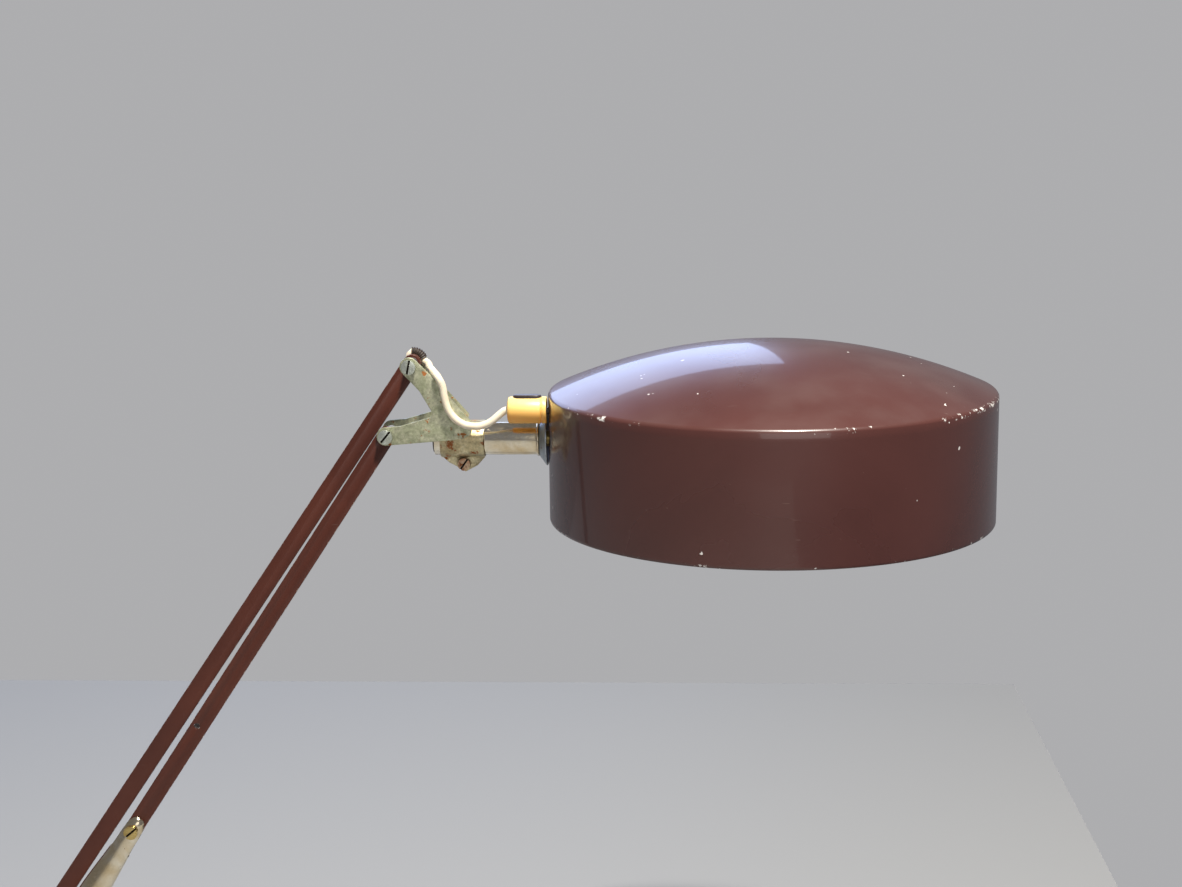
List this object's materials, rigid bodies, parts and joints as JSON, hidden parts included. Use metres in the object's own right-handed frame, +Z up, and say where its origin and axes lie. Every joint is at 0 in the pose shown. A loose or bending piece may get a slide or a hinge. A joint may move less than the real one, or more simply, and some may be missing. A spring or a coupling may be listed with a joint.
{
  "type": "architect desk lamp",
  "caption": "Desk lamp with a brown drum shade on a parallel-bar arm, swivelling on a weighted round base, with a cream flex, switch and plug.",
  "frame": {"origin": "centre of the base's underside, on the surface that the lamp stands on", "axes": "+X from the base towards the shade, +Y to the lamp's rear, +Z up; the arm moves in the XZ plane at rest"},
  "size_m": [0.7472, 0.3686, 0.5072],
  "materials": {
    "brown_enamel": "glossy stove enamel, worn at the edges",
    "shade_enamel": "spun aluminium in glossy dark brown enamel with small chips",
    "cast_iron": "rough casting",
    "pad_rubber": "matt",
    "chrome": "worn chrome plate",
    "zinc": "dull zinc plate with rust spots",
    "steel": "plain steel",
    "brass": "tarnished",
    "dark_rubber": "matt",
    "dark_plastic": "satin",
    "yellow_plastic": "satin",
    "flex_cream": "smooth soft PVC",
    "ceramic": "glazed",
    "bulb_glass": "frosted"
  },
  "bodies": {
    "base": {"base_cover": "brown_enamel", "base_ballast": "cast_iron", "base_pad": "pad_rubber", "post_drum": "chrome", "swivel_bolt": "steel", "swivel_nut": "steel", "flex_in_base": "flex_cream", "cord_gland": "flex_cream", "mains_lead": "flex_cream", "mains_coil": "flex_cream", "mains_tail": "flex_cream", "coil_tie": "dark_rubber", "plug_body": "flex_cream", "plug_pin_left": "brass", "plug_pin_right": "brass"},
    "turntable": {"turntable": "zinc", "yoke_front": "zinc", "yoke_rear": "zinc", "lower_pivot_screw": "zinc", "lower_pivot_nut": "zinc", "link_stud": "zinc", "flex_grommet": "dark_rubber"},
    "arm": {"arm_bar": "brown_enamel", "spring_barrel": "chrome", "nose_screw": "brass", "nose_nut": "brass", "barrel_plug": "chrome", "pivot_eye": "steel", "brake_spring": "steel"},
    "link": {"link_bar": "brown_enamel", "link_foot": "zinc", "flex_in_bar": "flex_cream", "lower_flex_loop": "flex_cream"},
    "fork": {"fork_plate_front": "zinc", "fork_plate_rear": "zinc", "fork_screw_upper": "zinc", "fork_nut_upper": "zinc", "upper_spacer": "steel", "fork_screw_lower": "zinc", "fork_nut_lower": "zinc", "flex_boot": "dark_rubber", "clamp_front": "zinc", "clamp_rear": "zinc", "clamp_screw": "zinc", "clamp_nut": "zinc", "head_flex": "flex_cream"},
    "head": {"head_tube": "chrome", "tube_cap": "dark_rubber", "tube_bush": "steel", "head_nipple": "brass", "wall_washer_outer": "steel", "wall_washer_inner": "steel", "nipple_nut_right": "brass", "shade": "shade_enamel", "lampholder": "ceramic", "bulb_cap": "brass", "bulb": "bulb_glass", "switch_housing": "yellow_plastic", "switch_insert": "dark_plastic"},
    "button": {"push_button": "dark_plastic"}
  },
  "joints": [
    {"name": "base_swivel", "type": "hinge", "parent": "base", "child": "turntable", "pos_m": [0, 0, 0.05], "axis": [0, 0, 1], "range_deg": [-150, 150]},
    {"name": "arm_tilt", "type": "hinge", "parent": "turntable", "child": "arm", "pos_m": [0, 0, 0.074], "axis": [0, 1, 0], "range_deg": [-24, 45]},
    {"name": "link_tilt", "type": "hinge", "parent": "turntable", "child": "link", "pos_m": [0.0153, 0, 0.1167], "axis": [0, 1, 0], "range_deg": [-24, 45], "deforming": ["flex_in_bar", "lower_flex_loop"]},
    {"name": "fork_level", "type": "hinge", "parent": "arm", "child": "fork", "pos_m": [0.25367, 0, 0.45293], "axis": [0, 1, 0], "range_deg": [-45, 24]},
    {"name": "head_roll", "type": "hinge", "parent": "fork", "child": "head", "pos_m": [0.29967, 0, 0.44933], "axis": [1, 0, 0], "range_deg": [-50, 50], "deforming": ["head_flex"]},
    {"name": "button_press", "type": "slide", "parent": "head", "child": "button", "axis": [0, 0, -1], "range_m": [0, 0.0012], "stiffness_N_per_m": 400}
  ],
  "couplings": [
    {"joint": "link_tilt", "follows": "arm_tilt", "ratio": 1},
    {"joint": "fork_level", "follows": "arm_tilt", "ratio": -1}
  ]
}
